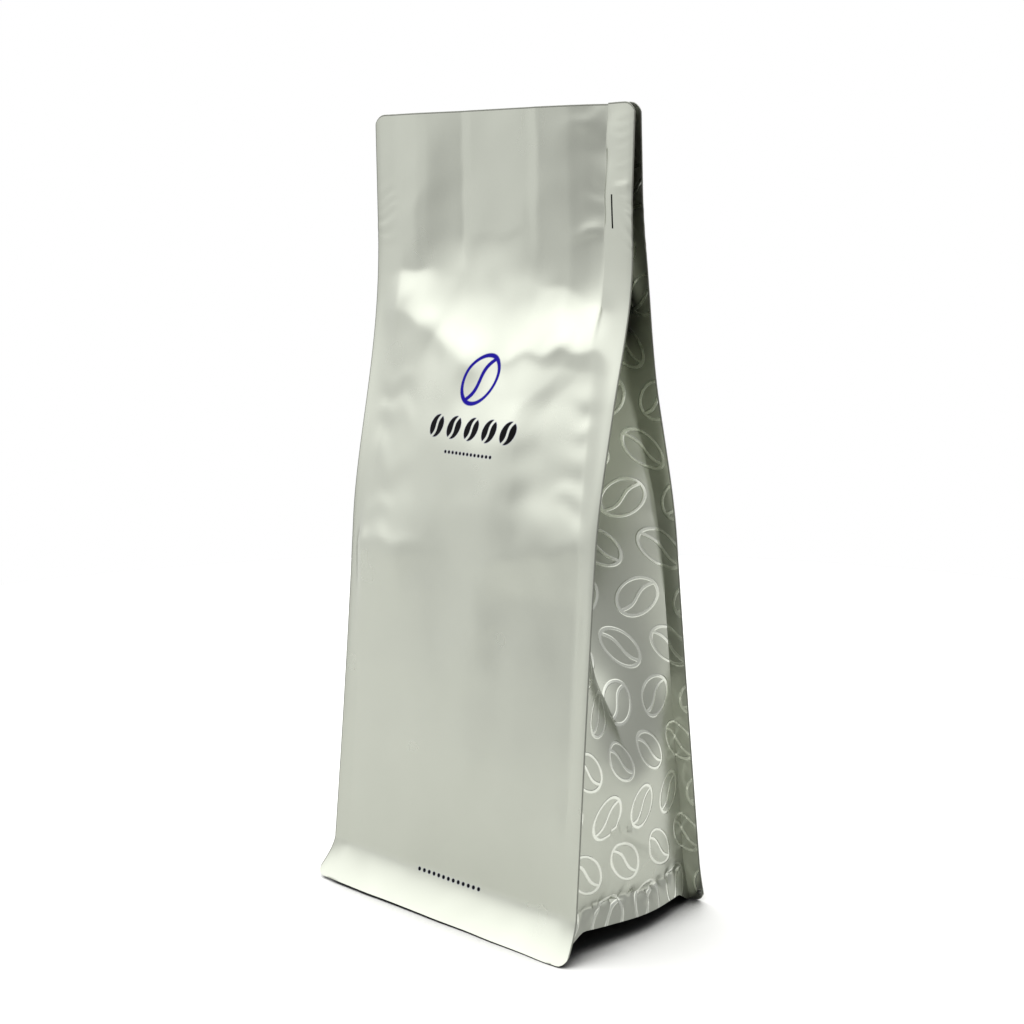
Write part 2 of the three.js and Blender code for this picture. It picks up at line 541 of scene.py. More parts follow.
class NodeBoard:
    """Node tree of a material or of the world."""

    def __init__(self, owner: bpy.types.Material | bpy.types.World) -> None:
        """Starts the tree afresh.

        Args:
            owner: The material or the world.
        """
        owner.use_nodes = True
        self.tree = owner.node_tree
        self.tree.nodes.clear()

    def add(self, kind: str, *links: Any, **settings: Any) -> Socket:
        """Adds a node with its settings and links.

        Args:
            kind: Type of the node, without its prefix.
            links: A socket or value for each input in use, in order.
            settings: Properties of the node, or values of the inputs of that name with _ for a space.

        Returns:
            The node's first output in use, or nothing for an output node.
        """
        node = self.tree.nodes.new("ShaderNode" + kind)
        for key in [key for key in settings if hasattr(node, key)]:
            setattr(node, key, settings.pop(key))
        used = [socket for socket in node.inputs if socket.enabled]
        named = {socket.name.replace(" ", "_"): socket for socket in used}
        values = [*zip(used, links), *((named[key], value) for key, value in settings.items())]
        for socket, value in values:
            if isinstance(value, Socket):
                self.tree.links.new(value, socket)
            else:
                socket.default_value = value
        return next((socket for socket in node.outputs if socket.enabled), None)


@dataclass(frozen=True)
class BeanFigure:
    """A plain coffee bean: an oval with a wavy line along it. Sizes are in millimetres."""

    long: float
    wide: float
    stroke: float
    turn: float
    filled: bool = False
    wave: float = 0.16
    soft_edge: float = 0.12

    def mask(self, board: NodeBoard, place: Socket, at: tuple[float, float]) -> Socket:
        """Adds the nodes that draw the bean.

        Args:
            board: Material to draw in.
            place: Flat place on the film, in metres.
            at: Middle of the bean, in millimetres.

        Returns:
            1 on the bean's lines, or on its body if it is filled, and 0 elsewhere.
        """
        half_long, half_wide = self.long / 2.0, self.wide / 2.0
        oval = board.add(
            "Mapping",
            place,
            (at[0] * MM, at[1] * MM, 0.0),
            (0.0, 0.0, math.radians(self.turn)),
            (half_long * MM, half_wide * MM, 1.0),
            vector_type="TEXTURE",
        )
        radius = board.add("VectorMath", oval, operation="LENGTH")
        parts = board.add("SeparateXYZ", oval).node.outputs
        soft = self.soft_edge / half_wide
        turn = board.add("Math", parts["X"], math.pi, operation="MULTIPLY")
        bow = board.add("Math", board.add("Math", turn, operation="SINE"), self.wave, operation="MULTIPLY")
        over = board.add("Math", parts["Y"], bow, operation="SUBTRACT")
        off = board.add("Math", over, operation="ABSOLUTE")
        half_line = self.stroke / 2.0 / half_wide
        groove = board.add("MapRange", off, half_line - soft, half_line + soft, 1.0, 0.0)
        inside = board.add("MapRange", radius, 1.0 - soft, 1.0 + soft, 1.0, 0.0)
        if self.filled:
            solid = board.add("Math", 1.0, groove, operation="SUBTRACT")
            return board.add("Math", inside, solid, operation="MULTIPLY")
        rim = board.add("Math", board.add("Math", radius, 1.0, operation="SUBTRACT"), operation="ABSOLUTE")
        half_rim = self.stroke / (half_long + half_wide)
        ring = board.add("MapRange", rim, half_rim - soft, half_rim + soft, 1.0, 0.0)
        seam = board.add("Math", inside, groove, operation="MULTIPLY")
        return board.add("Math", ring, seam, operation="MAXIMUM")


@dataclass(frozen=True)
class Bar:
    """A plain upright bar on the front. Sizes are in millimetres."""

    x: float
    z: float
    half_width: float
    half_height: float

    def mask(self, board: NodeBoard, parts: Any) -> Socket:
        """Adds the nodes that draw the bar.

        Args:
            board: Material to draw in.
            parts: Object coordinates, split.

        Returns:
            1 on the bar and 0 elsewhere.
        """
        near_x = board.add("Math", parts["X"], self.x * MM, self.half_width * MM, operation="COMPARE")
        near_z = board.add("Math", parts["Z"], self.z * MM, self.half_height * MM, operation="COMPARE")
        return board.add("Math", near_x, near_z, operation="MULTIPLY")


@dataclass(frozen=True)
class BeanRow:
    """A level row of beans on the front. Sizes are in millimetres."""

    bean: BeanFigure
    z: float
    pitch: float
    count: int

    def mask(self, board: NodeBoard, parts: Any) -> Socket:
        """Adds the nodes that draw the row.

        Args:
            board: Material to draw in.
            parts: Object coordinates, split.

        Returns:
            1 on the beans and 0 elsewhere.
        """
        half = self.pitch / 2.0 * MM
        cell = board.add("Math", parts["X"], half, -half, operation="WRAP")
        beans = self.bean.mask(board, board.add("CombineXYZ", cell, parts["Z"]), (0.0, self.z))
        room = Bar(0.0, self.z, self.pitch * self.count / 2.0, self.bean.long).mask(board, parts)
        return board.add("Math", beans, room, operation="MULTIPLY")


@dataclass(frozen=True)
class DottedLine:
    """A level row of dots on the front. Sizes are in millimetres."""

    z: float
    step: float
    radius: float
    count: int
    soft_edge: float = 0.12

    def mask(self, board: NodeBoard, parts: Any) -> Socket:
        """Adds the nodes that draw the dots.

        Args:
            board: Material to draw in.
            parts: Object coordinates, split.

        Returns:
            1 on the dots and 0 elsewhere.
        """
        half = self.step / 2.0 * MM
        cell = board.add("Math", parts["X"], half, -half, operation="WRAP")
        over = board.add("Math", parts["Z"], self.z * MM, operation="SUBTRACT")
        away = board.add("VectorMath", board.add("CombineXYZ", cell, over), operation="LENGTH")
        inner, outer = (self.radius - self.soft_edge) * MM, (self.radius + self.soft_edge) * MM
        dots = board.add("MapRange", away, inner, outer, 1.0, 0.0)
        room = Bar(0.0, self.z, self.step * self.count / 2.0, self.step).mask(board, parts)
        return board.add("Math", dots, room, operation="MULTIPLY")


@dataclass(frozen=True)
class FoilLaminate:
    """Matte film over aluminium foil: a soft metal sheen that blurs what it mirrors, faintly cloudy.

    The grain of the matte film is finer than a pixel, so it is drawn coarser than it is.
    """

    name: str = "matte_aluminium_foil_laminate"
    colour: str = "#bec1b6"
    roughness: float = 0.30
    roughness_spread: float = 0.03
    cloud_mm: float = 26.0
    cloud_detail: float = 3.0
    cloud_roughness: float = 0.55
    cloud_range: tuple[float, float] = (0.3, 0.7)
    cloud_share: float = 0.95
    grain_mm: float = 0.9
    grain_detail: float = 2.0
    grain_height_mm: float = 0.1
    grain_strength: float = 0.05
    ink_sheen: float = 0.05

    def surface(self, board: NodeBoard) -> tuple[Socket, Socket, Socket]:
        """Adds the nodes of the bare film.

        Args:
            board: Material to draw in.

        Returns:
            Colour, roughness and normal.
        """
        place = board.add("TexCoord").node.outputs["Object"]
        cloud = board.add(
            "TexNoise",
            place,
            Scale=1.0 / (self.cloud_mm * MM),
            Detail=self.cloud_detail,
            Roughness=self.cloud_roughness,
        )
        bright = linear(self.colour)
        dull = (*(part * self.cloud_share for part in bright[:3]), 1.0)
        tone = board.add("Mix", cloud, dull, bright, data_type="RGBA")
        rough, smooth = self.roughness + self.roughness_spread, self.roughness - self.roughness_spread
        shine = board.add("MapRange", cloud, *self.cloud_range, rough, smooth)
        grain = board.add("TexNoise", place, Scale=1.0 / (self.grain_mm * MM), Detail=self.grain_detail)
        deep = self.grain_height_mm * MM
        normal = board.add("Bump", Strength=self.grain_strength, Distance=deep, Height=grain)
        return tone, shine, normal

    def finish(self, board: NodeBoard, colour: Socket, metal: Any, roughness: Socket, normal: Socket) -> None:
        """Adds the shader and the output.

        Args:
            board: Material to finish.
            colour: Base colour.
            metal: Metallic, as a socket or 1.
            roughness: Roughness.
            normal: Normal.
        """
        shader = board.add(
            "BsdfPrincipled",
            Base_Color=colour,
            Metallic=metal,
            Roughness=roughness,
            Normal=normal,
            Specular_IOR_Level=self.ink_sheen,
        )
        board.add("OutputMaterial", shader)

    def make(self) -> bpy.types.Material:
        """Makes the plain film of the back, the base and the fins.

        Returns:
            The material.
        """
        material = bpy.data.materials.new(self.name)
        board = NodeBoard(material)
        colour, roughness, normal = self.surface(board)
        self.finish(board, colour, 1.0, roughness, normal)
        return material


@dataclass(frozen=True)
class CutEdgeShadeLaminate(FoilLaminate):
    """The film's cut edges, a thin dull grey line: partly the layers' own colour and partly painted shade for
    the dark line along the edges.
    """

    name: str = "cut_edge_of_foil_laminate"
    # Dull grey: the cut layers' own colour, darkened further as painted shade.
    colour: str = "#82847c"
    roughness: float = 0.5


@dataclass(frozen=True)
class PrintedLaminate(FoilLaminate):
    """The front's film with flat, slightly dull ink: a blue bean, and black beans, dots and a tear slit."""

    name: str = "matte_foil_laminate_with_flexo_ink"
    blue: str = "#160d86"
    black: str = "#060607"
    ink_roughness: float = 0.42
    blue_figure: BeanFigure = BeanFigure(15.5, 10.4, 1.15, 52.0)
    blue_at: tuple[float, float] = (0.0, 156.5)
    black_figures: tuple[BeanRow | DottedLine | Bar, ...] = (
        BeanRow(BeanFigure(7.0, 4.9, 0.8, 62.0, filled=True), 142.6, 7.0, 5),
        DottedLine(135.6, 1.5, 0.5, 13),
        DottedLine(11.4, 2.0, 0.6, 13),
        Bar(41.6, 203.5, 0.28, 4.5),
    )

    def make(self) -> bpy.types.Material:
        """Makes the printed film.

        Returns:
            The material.
        """
        material = bpy.data.materials.new(self.name)
        board = NodeBoard(material)
        colour, roughness, normal = self.surface(board)
        parts = board.add("SeparateXYZ", board.add("TexCoord").node.outputs["Object"]).node.outputs
        blue = self.blue_figure.mask(board, board.add("CombineXYZ", parts["X"], parts["Z"]), self.blue_at)
        black: Any = 0.0
        for figure in self.black_figures:
            black = board.add("Math", black, figure.mask(board, parts), operation="MAXIMUM")
        ink = board.add("Math", blue, black, operation="MAXIMUM")
        paint = board.add("Mix", black, linear(self.blue), linear(self.black), data_type="RGBA")
        seen = board.add("Mix", ink, colour, paint, data_type="RGBA")
        metal = board.add("Math", 1.0, ink, operation="SUBTRACT")
        shine = board.add("Mix", ink, roughness, self.ink_roughness)
        self.finish(board, seen, metal, shine, normal)
        return material


@dataclass(frozen=True)
class VarnishedShadedLaminate(FoilLaminate):
    """The gussets' film, a darker copy of the foil's colour that paints shade on the side turned from the
    light, with bean outlines in clear gloss varnish that flash brighter or darker and are painted lighter as
    a highlight.

    The varnish is too thin for its edges to show, so it is drawn thicker than it is.
    """

    name: str = "matte_foil_laminate_with_spot_varnish"
    # A darker copy of the foil's colour: painted shade on the gussets, the side turned from the light.
    colour: str = "#b2b5aa"
    film_map: str = "film"
    figure: BeanFigure = BeanFigure(13.6, 9.4, 0.9, 38.0)
    pitch: tuple[float, float] = (17.0, 14.5)
    # Lighter colour on the outlines: a painted highlight for their flash.
    varnish_highlight_colour: str = "#d4d7cd"
    varnish_roughness: float = 0.16
    varnish_mm: float = 0.12
    varnish_strength: float = 0.6

    def cell(self, board: NodeBoard) -> Socket:
        """Adds the nodes that repeat the film's flat places, each row half a step on and turned about.

        Args:
            board: Material to draw in.

        Returns:
            Place from the middle of the nearest figure, in metres.
        """
        parts = board.add("SeparateXYZ", board.add("UVMap", uv_map=self.film_map)).node.outputs
        wide, tall = self.pitch[0] * MM, self.pitch[1] * MM
        row = board.add("Math", board.add("Math", parts["Y"], tall, operation="DIVIDE"), operation="FLOOR")
        odd = board.add("Math", row, 2.0, operation="FLOORED_MODULO")
        shifted = board.add("Math", odd, wide / 2.0, parts["X"], operation="MULTIPLY_ADD")
        across = board.add("Math", shifted, wide / 2.0, -wide / 2.0, operation="WRAP")
        flip = board.add("Math", odd, -2.0, 1.0, operation="MULTIPLY_ADD")
        up = board.add("Math", parts["Y"], tall, operation="FLOORED_MODULO")
        up = board.add("Math", up, tall / 2.0, operation="SUBTRACT")
        return board.add("CombineXYZ", board.add("Math", across, flip, operation="MULTIPLY"), up)

    def make(self) -> bpy.types.Material:
        """Makes the varnished film.

        Returns:
            The material.
        """
        material = bpy.data.materials.new(self.name)
        board = NodeBoard(material)
        colour, roughness, normal = self.surface(board)
        lines = self.figure.mask(board, self.cell(board), (0.0, 0.0))
        shine = board.add("Mix", lines, roughness, self.varnish_roughness)
        # The outlines' lighter colour is a painted highlight; their lower roughness and their height are
        # real.
        seen = board.add("Mix", lines, colour, linear(self.varnish_highlight_colour), data_type="RGBA")
        raised = board.add(
            "Bump",
            Strength=self.varnish_strength,
            Distance=self.varnish_mm * MM,
            Height=lines,
            Normal=normal,
        )
        self.finish(board, seen, 1.0, shine, raised)
        return material


@dataclass
class FoilBag:
    """The bag: one film, folded and sealed."""

    form: BagForm
    front_relief: Relief
    back_relief: Relief
    header_relief: Relief
    gusset_relief: Relief
    # Columns and rows of the film, closer together at its edges and where it is most creased.
    blunt: float = 0.12
    blunt_end: float = 0.45
    corner_insets: tuple[float, ...] = (0.0, 0.12, 0.35, 0.8, 1.5, 2.4, 3.5)
    # Columns from a fin's edge, and rows below the top, that get the cut edge's grey with painted shade.
    cut_edge_shade_steps: int = 2
    fin_steps: int = 6
    fold_steps: int = 26
    centre_steps: int = 24
    row_steps: tuple[tuple[float, float, float], ...] = (
        (1.0, 5.0, 1.0),
        (5.0, 40.0, 0.7),
        (40.0, 150.0, 1.4),
        (150.0, 231.2, 0.9),
    )
    # How the panels' relief fades over the fins and into the gussets, and the gussets' own grows.
    fade_margin: float = 1.0
    panel_follow: int = 6
    relief_grows: int = 4
    # Base: flat in its middle, rounded up to a groove behind the skirt.
    flat_share: float = 0.58
    flat_rows: int = 4
    belly_share: float = 0.93
    belly_rows: int = 6
    belly_height: float = 6.6
    belly_power: float = 1.6
    groove_share: float = 0.97
    skirt_rows: int = 6
    # Seals: what counts as one place, and which faces are shaded as one.
    same_place: float = 0.01
    weld_gap: float = 0.002
    sliver: float = 0.0005
    smooth_angle: float = 40.0
    film_map: str = "film"

    @property
    def fin_root(self) -> int:
        """Number of the column at a fin's root, counted from the fin's edge."""
        return len(self.corner_insets) + self.fin_steps - 1

    def fin_insets(self, z: Array) -> list[Array]:
        """Insets of a fin's columns from its edge to its root.

        Args:
            z: Heights.

        Returns:
            One array for each column.
        """
        width = self.form.fin_width(z)
        last = self.corner_insets[-1]
        steps = [blend(last, width, step / self.fin_steps) for step in range(1, self.fin_steps + 1)]
        return [np.full_like(z, inset) for inset in self.corner_insets] + steps

    def fin_columns(self, zone: Zone, face: Face, side: Side, outwards: bool) -> list[Column]:
        """Columns of one layer of a fin.

        Args:
            zone: The layer.
            face: Panel that the fin belongs to.
            side: Side that it stands on.
            outwards: Whether they run from the root to the edge.

        Returns:
            The columns. The place of each is its number from the edge.
        """
        numbers = range(self.fin_root + 1)
        order = reversed(numbers) if outwards else numbers
        return [(zone.value, face.value, side.value, float(number)) for number in order]

    def panel_columns(self, face: Face, first: Side, last: Side) -> list[Column]:
        """Columns of a panel with a fin at each side.

        Args:
            face: The panel.
            first: Side that they start from.
            last: Side that they end at.

        Returns:
            The columns. But for the fins, a place is a share of the way from the middle to the root.
        """
        top = np.array(self.form.height)
        fold_share = float(self.form.fold_x(top) / self.form.root_x(top))
        half = [1.0 - (1.0 - fold_share) * step / self.fold_steps for step in range(1, self.fold_steps + 1)]
        centre = [fold_share * (2.0 * step / self.centre_steps - 1.0) for step in range(1, self.centre_steps)]
        across = [first.value * share for share in half]
        across += [last.value * share for share in centre]
        across += [last.value * share for share in reversed(half)]
        middle = [(Zone.PANEL.value, face.value, int(np.sign(place) or 1), place) for place in across]
        left_fin = self.fin_columns(Zone.FIN_PANEL, face, first, outwards=False)
        return left_fin + middle + self.fin_columns(Zone.FIN_PANEL, face, last, outwards=True)

    def gusset_columns(self, side: Side, first: Face, last: Face) -> list[Column]:
        """Columns of a gusset with a fin's inner layer at each edge.

        Args:
            side: The gusset's side.
            first: Panel that they start from.
            last: Panel that they end at.

        Returns:
            The columns. But for the fins, a place is a share of the way from the root to the fold.
        """
        shares = [step / self.fold_steps for step in range(1, self.fold_steps + 1)]
        halves = [(first, share) for share in shares] + [(last, share) for share in reversed(shares[:-1])]
        middle = [(Zone.GUSSET.value, face.value, side.value, share) for face, share in halves]
        near_fin = self.fin_columns(Zone.FIN_GUSSET, first, side, outwards=False)
        return near_fin + middle + self.fin_columns(Zone.FIN_GUSSET, last, side, outwards=True)

    def columns(self) -> Columns:
        """Lists the film's columns round the bag, from the front's left edge and past its right.

        Returns:
            The columns, with the first again at the end.
        """
        rows = [
            *self.panel_columns(Face.FRONT, Side.LEFT, Side.RIGHT),
            *self.gusset_columns(Side.RIGHT, Face.FRONT, Face.BACK),
            *self.panel_columns(Face.BACK, Side.RIGHT, Side.LEFT),
            *self.gusset_columns(Side.LEFT, Face.BACK, Face.FRONT),
        ]
        rows.append(rows[0])
        return Columns(*(np.array(fact) for fact in zip(*rows)))

    def wall(self, columns: Columns, z: Array) -> tuple[Array, Array]:
        """Places of the walls.

        Args:
            columns: The film's columns.
            z: Heights, a row of them for each row of the film.

        Returns:
            Places along X and Y, in the shape of z.
        """
        form = self.form
        face, side, place = (np.broadcast_to(a, z.shape) for a in (columns.face, columns.side, columns.place))
        fins = columns.are(Zone.FIN_PANEL, Zone.FIN_GUSSET)
        insets = np.stack(self.fin_insets(z))
        number = np.where(fins, columns.place, 0.0).astype(int)
        inset = np.take_along_axis(insets, np.broadcast_to(number, (1, *z.shape)), axis=0)[0]
        tip = np.where((side < 0) & (face < 0), form.left_tip, 0.0) * form.flare(z)
        fin_x = side * (form.edge_x(z) + tip - inset)
        x = np.where(fins, fin_x, place * form.root_x(z))
        y = form.panel_y(face, x, z)
        y = np.where(columns.are(Zone.FIN_GUSSET), form.fin_y(face, z), y)
        share = np.where(columns.are(Zone.GUSSET), columns.place, 0.0)
        gusset_x, gusset_y = form.gusset(face, side, share, z)
        grows = 1.0 - (1.0 - share) ** self.relief_grows
        gusset_x = gusset_x + relief_height(self.gusset_relief, side * gusset_y, z) * grows
        x = np.where(columns.are(Zone.GUSSET), side * gusset_x, x)
        y = np.where(columns.are(Zone.GUSSET), gusset_y, y)
        near_x = np.where(columns.are(Zone.GUSSET), side * form.root_x(z), x)
        past_root = np.abs(near_x) - form.root_x(z) + self.fade_margin
        fades = (1.0 - ease(0.0, 1.0, past_root / form.fin_width(z))) * (1.0 - share) ** self.panel_follow
        out = [relief_height(relief, near_x, z) for relief in (self.front_relief, self.back_relief)]
        y = y + face * fades * np.where(face < 0, *out)
        y = y + np.where(fins, form.curl(side, inset), 0.0) - relief_height(self.header_relief, x, z)
        return x, y

    def low_and_high(self, columns: Columns) -> tuple[Array, Array]:
        """Lowest and highest point of each column.

        Args:
            columns: The film's columns.

        Returns:
            Two arrays of heights.
        """
        form = self.form
        fins = columns.are(Zone.FIN_PANEL, Zone.FIN_GUSSET)
        number = np.where(fins, columns.place, 0.0).astype(int)
        known = np.array([*self.corner_insets, *[form.corner_radius] * self.fin_steps])
        loss = np.where(fins, form.corner_loss(known[number]), 0.0)
        gusset = columns.are(Zone.GUSSET)
        share = np.where(gusset, columns.place, 0.0)
        low = np.where(gusset, form.side_low(columns.face, share), loss)
        across = np.where(columns.are(Zone.PANEL), (columns.place + 1.0) / 2.0, (columns.side + 1.0) / 2.0)
        lift = np.where(columns.face < 0, blend(*form.edge_lift, across), 0.0) * (1.0 - share)
        return low + lift, form.height - loss

    def row_shares(self) -> Array:
        """Shares of a column's height, closer together at its ends and where the film is most creased.

        Returns:
            Shares from 0 to 1.
        """
        height = self.form.height
        spans = [np.array([0.0, self.blunt, self.blunt_end])]
        for low, high, step in self.row_steps:
            spans.append(np.arange(low, high, step))
        spans.append(height - np.array([self.blunt_end, self.blunt, 0.0]))
        return np.concatenate(spans) / height

    def weld(self, columns: Columns, x: Array, y: Array) -> None:
        """Brings the film's layers together along the seals' edges.

        Args:
            columns: The film's columns.
            x: Places of the walls along X, changed here.
            y: Places of the walls along Y, changed here.
        """
        fin_layers = (Zone.FIN_PANEL, Zone.FIN_GUSSET)
        for face in Face:
            for side in Side:
                here = (columns.face == face.value) & (columns.side == side.value)
                pair = [np.flatnonzero(here & columns.are(zone)) for zone in fin_layers]
                for number in range(self.fin_root + 1):
                    both = [c for run in pair for c in run if columns.place[c] == number]
                    rows = slice(None) if number == 0 else [0, -1]
                    self.join(both, rows, x, y)
                panel = np.flatnonzero(here & columns.are(Zone.PANEL))
                gusset = np.flatnonzero(here & columns.are(Zone.GUSSET))
                outer = panel[np.argsort(-np.abs(columns.place[panel]))][: self.fold_steps - 1]
                inner = gusset[np.argsort(columns.place[gusset])][: self.fold_steps - 1]
                for first, second in zip(outer, inner):
                    self.join([first, second], [-1], x, y)
        at_top: dict[float, list[int]] = {}
        fold = float(self.form.fold_x(np.array(self.form.height)))
        middle_fold = columns.are(Zone.GUSSET) & (columns.place == 1.0)
        across = np.where(middle_fold, columns.side * fold, x[-1])
        between = columns.are(Zone.PANEL) & (np.abs(across) < fold + self.same_place)
        for column in np.flatnonzero(between | middle_fold):
            at_top.setdefault(round(float(across[column]), 3), []).append(int(column))
        for stack in at_top.values():
            self.join(stack, [-1], x, y)

    def join(self, stack: list[int], rows: Any, x: Array, y: Array) -> None:
        """Brings some columns to their mean place.

        Args:
            stack: Numbers of the columns.
            rows: Rows to join.
            x: Places along X, changed here.
            y: Places along Y, changed here.
        """
        for axis in (x, y):
            part = axis[rows][:, stack]
            axis[np.ix_(np.arange(axis.shape[0])[rows], stack)] = part.mean(axis=1, keepdims=True)

    def base(self, columns: Columns, low: Array) -> tuple[Array, Array, Array]:
        """Rows of the base, from its middle to the inner face of the skirt.

        Args:
            columns: The film's columns.
            low: Lowest point of each column.

        Returns:
            Places along X, Y and Z, one row of the film in each row.
        """
        form = self.form
        drop = np.linspace(0.0, 1.0, self.skirt_rows)[:, None]
        skirt_z = form.groove + (low + self.blunt - form.groove) * drop
        x, y = self.wall(columns, skirt_z)
        x = x * (1.0 - form.flap / form.foot_half_width)
        y = y * (1.0 - form.flap / form.foot_half_depth)
        for face in Face:
            for side in Side:
                fins = columns.are(Zone.FIN_PANEL, Zone.FIN_GUSSET) & (columns.place == self.fin_root)
                both = np.flatnonzero(fins & (columns.face == face.value) & (columns.side == side.value))
                self.join(list(both), slice(None), x, y)
        flat = np.linspace(0.0, self.flat_share, self.flat_rows)
        belly = np.linspace(self.flat_share, self.belly_share, self.belly_rows + 1)[1:]
        shares = np.concatenate([flat, belly, [self.groove_share]])
        up = (shares - self.flat_share) / (self.belly_share - self.flat_share)
        height = self.belly_height * np.clip(up, 0.0, 1.0) ** self.belly_power
        height[-1] = (self.belly_height + form.groove) / 2.0
        flat_z = np.broadcast_to(height[:, None], (len(shares), len(low)))
        all_x = np.concatenate([shares[:, None] * x[0], x])
        all_y = np.concatenate([shares[:, None] * y[0], y])
        return all_x, all_y, np.concatenate([flat_z, skirt_z])

    def film_places(self, columns: Columns) -> tuple[Array, int]:
        """Place of every point of the folded film.

        Args:
            columns: The film's columns.

        Returns:
            The places by row and column, in metres, and the number of rows in the base.
        """
        low, high = self.low_and_high(columns)
        wall_z = low + (high - low) * self.row_shares()[:, None]
        x, y = self.wall(columns, wall_z)
        self.weld(columns, x, y)
        base_x, base_y, base_z = self.base(columns, low)
        rows = [np.concatenate(pair) for pair in ((base_x, x), (base_y, y), (base_z, wall_z))]
        return np.stack(rows, axis=-1) * MM, len(base_x)

    def film_map_places(self, columns: Columns, places: Array) -> Array:
        """Flat place of every point on the unfolded gussets, from the front's root, in metres.

        Args:
            columns: The film's columns.
            places: Places of the folded film.

        Returns:
            Across and up the film, by row and column.
        """
        width = (self.form.fold_depth - self.form.fin) * MM
        share = np.where(columns.are(Zone.GUSSET), columns.place, 0.0)
        across = np.where(columns.face < 0, share, 2.0 - share) * width
        root = self.form.root_x(places[..., 2] / MM) * MM
        beyond = np.where(columns.are(Zone.FIN_GUSSET), np.abs(places[..., 0]) - root, 0.0)
        return np.stack([across + columns.face * beyond, places[..., 2]], axis=-1)

    def build(self) -> bpy.types.Object:
        """Makes the film as a flat grid, folds it and welds its seals.

        Returns:
            The bag.
        """
        columns = self.columns()
        places, base_rows = self.film_places(columns)
        rows, across = places.shape[:2]
        bpy.ops.object.select_all(action="DESELECT")
        bpy.ops.mesh.primitive_grid_add(x_subdivisions=across - 1, y_subdivisions=rows - 1, size=1.0)
        bag = bpy.context.object
        bag.name = bag.data.name = "foil_bag"
        mesh = bag.data
        flat = np.empty(len(mesh.vertices) * 3)
        mesh.vertices.foreach_get("co", flat)
        flat = flat.reshape(-1, 3)
        column = np.rint((flat[:, 0] + 0.5) * (across - 1)).astype(int)
        row = np.rint((flat[:, 1] + 0.5) * (rows - 1)).astype(int)
        mesh.vertices.foreach_set("co", places[row, column].ravel())
        corner = np.empty(len(mesh.loops), dtype=np.int32)
        mesh.loops.foreach_get("vertex_index", corner)
        film = self.film_map_places(columns, places)[row[corner], column[corner]]
        mesh.uv_layers[0].name = self.film_map
        mesh.uv_layers[0].data.foreach_set("uv", film.ravel())
        corner = corner.reshape(-1, 4)
        face_column = column[corner].min(axis=1)
        face_row = row[corner].min(axis=1)
        in_base = face_row < base_rows
        self.dress(mesh, columns, face_column, in_base, face_row >= rows - 1 - self.cut_edge_shade_steps)
        fin = columns.are(Zone.FIN_PANEL, Zone.FIN_GUSSET)
        self.seal(mesh, fin[face_column] & fin[face_column + 1] & in_base)
        return bag

    def dress(
        self, mesh: bpy.types.Mesh, columns: Columns, face_column: Array, in_base: Array, at_top: Array
    ) -> None:
        """Gives the faces their finishes.

        Args:
            mesh: The folded film.
            columns: The film's columns.
            face_column: Column of each face.
            in_base: Whether each face belongs to the base.
            at_top: Whether each face lies along the top edge.
        """
        finishes = {
            Finish.PLAIN: FoilLaminate(),
            Finish.CUT: CutEdgeShadeLaminate(),
            Finish.PRINTED: PrintedLaminate(),
            Finish.VARNISHED: VarnishedShadedLaminate(film_map=self.film_map),
        }
        for finish in Finish:
            mesh.materials.append(finishes[finish].make())
        fin = columns.are(Zone.FIN_PANEL, Zone.FIN_GUSSET)
        # Fin columns next to the edge: the cut edge's grey, partly painted shade.
        cut_edge_shade = fin & (columns.place <= self.cut_edge_shade_steps)
        front = columns.are(Zone.PANEL, Zone.FIN_PANEL) & (columns.face < 0)
        gusset = columns.are(Zone.GUSSET, Zone.FIN_GUSSET)
        slots = np.full(len(mesh.polygons), Finish.PLAIN.value, dtype=np.int32)
        for part, finish in ((gusset, Finish.VARNISHED), (front, Finish.PRINTED), (cut_edge_shade, Finish.CUT)):
            slots[part[face_column] & part[face_column + 1] & ~in_base] = finish.value
        # The top edge gets the cut edge's grey too, partly painted shade.
        slots[at_top] = Finish.CUT.value
        mesh.polygons.foreach_set("material_index", slots)

    def seal(self, mesh: bpy.types.Mesh, unused: Array) -> None:
        """Takes away the fins' part of the base and welds the film shut.

        Args:
            mesh: The folded film, of the object at hand.
            unused: Whether each face is taken away.
        """
        bpy.ops.object.mode_set(mode="EDIT")
        bpy.ops.mesh.select_mode(type="FACE")
        bpy.ops.mesh.select_all(action="DESELECT")
        bpy.ops.object.mode_set(mode="OBJECT")
        mesh.polygons.foreach_set("select", unused)
        bpy.ops.object.mode_set(mode="EDIT")
        bpy.ops.mesh.delete(type="FACE")
        bpy.ops.mesh.select_all(action="SELECT")
        bpy.ops.mesh.remove_doubles(threshold=self.weld_gap * MM)
        bpy.ops.mesh.dissolve_degenerate(threshold=self.sliver * MM)
        bpy.ops.mesh.select_all(action="SELECT")
        bpy.ops.mesh.normals_make_consistent(inside=False)
        bpy.ops.object.mode_set(mode="OBJECT")
        bpy.ops.object.shade_smooth_by_angle(angle=math.radians(self.smooth_angle))


